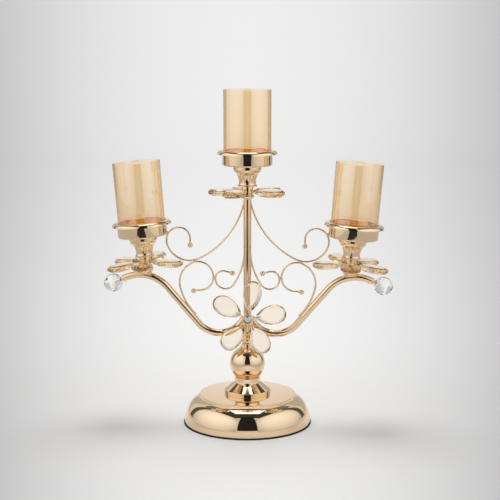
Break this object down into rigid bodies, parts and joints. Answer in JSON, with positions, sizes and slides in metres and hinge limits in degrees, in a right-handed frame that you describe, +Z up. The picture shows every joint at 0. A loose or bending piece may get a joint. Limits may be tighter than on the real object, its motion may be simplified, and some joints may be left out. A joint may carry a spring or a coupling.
{
  "type": "candelabra",
  "caption": "Table candelabra with a slim column, curved arms, glass candle sleeves in drip dishes, crystal petal flowers, wire scrolls and a mirror-polished domed base.",
  "frame": {"origin": "centre of the base on the surface it stands on", "axes": "+X along the arms, -Y towards the front flower, +Z up the column"},
  "size_m": [0.3666, 0.163, 0.4254],
  "materials": {
    "polished_metal": "mirror-polished champagne plating",
    "petal_crystal": "cut and polished, champagne tinted",
    "amber_glass": "clear amber tint",
    "clear_crystal": "cut and polished, clear",
    "plain_steel": "plain zinc",
    "pad_rubber": "matt felt-faced pad"
  },
  "bodies": {
    "stand": {"arm_bosses": "polished_metal", "arm_left": "polished_metal", "arm_right": "polished_metal", "base_ball": "polished_metal", "base_bottom_plate": "polished_metal", "base_cone": "polished_metal", "base_dome": "polished_metal", "base_nut": "plain_steel", "base_pad": "pad_rubber", "base_top_plate": "polished_metal", "column_cap": "polished_metal", "column_collar": "polished_metal", "column_tube": "polished_metal", "cup_screws": "plain_steel", "dish_centre": "polished_metal", "dish_left": "polished_metal", "dish_right": "polished_metal", "end_ball_left": "clear_crystal", "end_ball_right": "clear_crystal", "end_ball_studs": "polished_metal", "front_bezel": "polished_metal", "front_stone": "clear_crystal", "neck_centre": "polished_metal", "neck_left": "polished_metal", "neck_right": "polished_metal", "petal_centre_1": "petal_crystal", "petal_centre_2": "petal_crystal", "petal_centre_3": "petal_crystal", "petal_centre_4": "petal_crystal", "petal_centre_5": "petal_crystal", "petal_front_1": "petal_crystal", "petal_front_2": "petal_crystal", "petal_front_3": "petal_crystal", "petal_front_4": "petal_crystal", "petal_front_5": "petal_crystal", "petal_hub_centre": "polished_metal", "petal_hub_left": "polished_metal", "petal_hub_right": "polished_metal", "petal_left_1": "petal_crystal", "petal_left_2": "petal_crystal", "petal_left_3": "petal_crystal", "petal_left_4": "petal_crystal", "petal_left_5": "petal_crystal", "petal_right_1": "petal_crystal", "petal_right_2": "petal_crystal", "petal_right_3": "petal_crystal", "petal_right_4": "petal_crystal", "petal_right_5": "petal_crystal", "scroll_beads": "polished_metal", "scroll_inner_left": "polished_metal", "scroll_inner_right": "polished_metal", "scroll_middle_left": "polished_metal", "scroll_middle_right": "polished_metal", "scroll_upper_left": "polished_metal", "scroll_upper_right": "polished_metal", "solder_spots": "polished_metal", "tie_rod": "plain_steel"},
    "sleeve_centre": {"glass_centre": "amber_glass"},
    "sleeve_right": {"glass_right": "amber_glass"},
    "sleeve_left": {"glass_left": "amber_glass"}
  },
  "joints": [
    {"name": "lift_centre", "type": "slide", "parent": "stand", "child": "sleeve_centre", "axis": [0, 0, 1], "range_m": [0, 0.12]},
    {"name": "lift_right", "type": "slide", "parent": "stand", "child": "sleeve_right", "axis": [0.0802, 0, 0.9968], "range_m": [0, 0.12]},
    {"name": "lift_left", "type": "slide", "parent": "stand", "child": "sleeve_left", "axis": [-0.0802, 0, 0.9968], "range_m": [0, 0.12]}
  ]
}
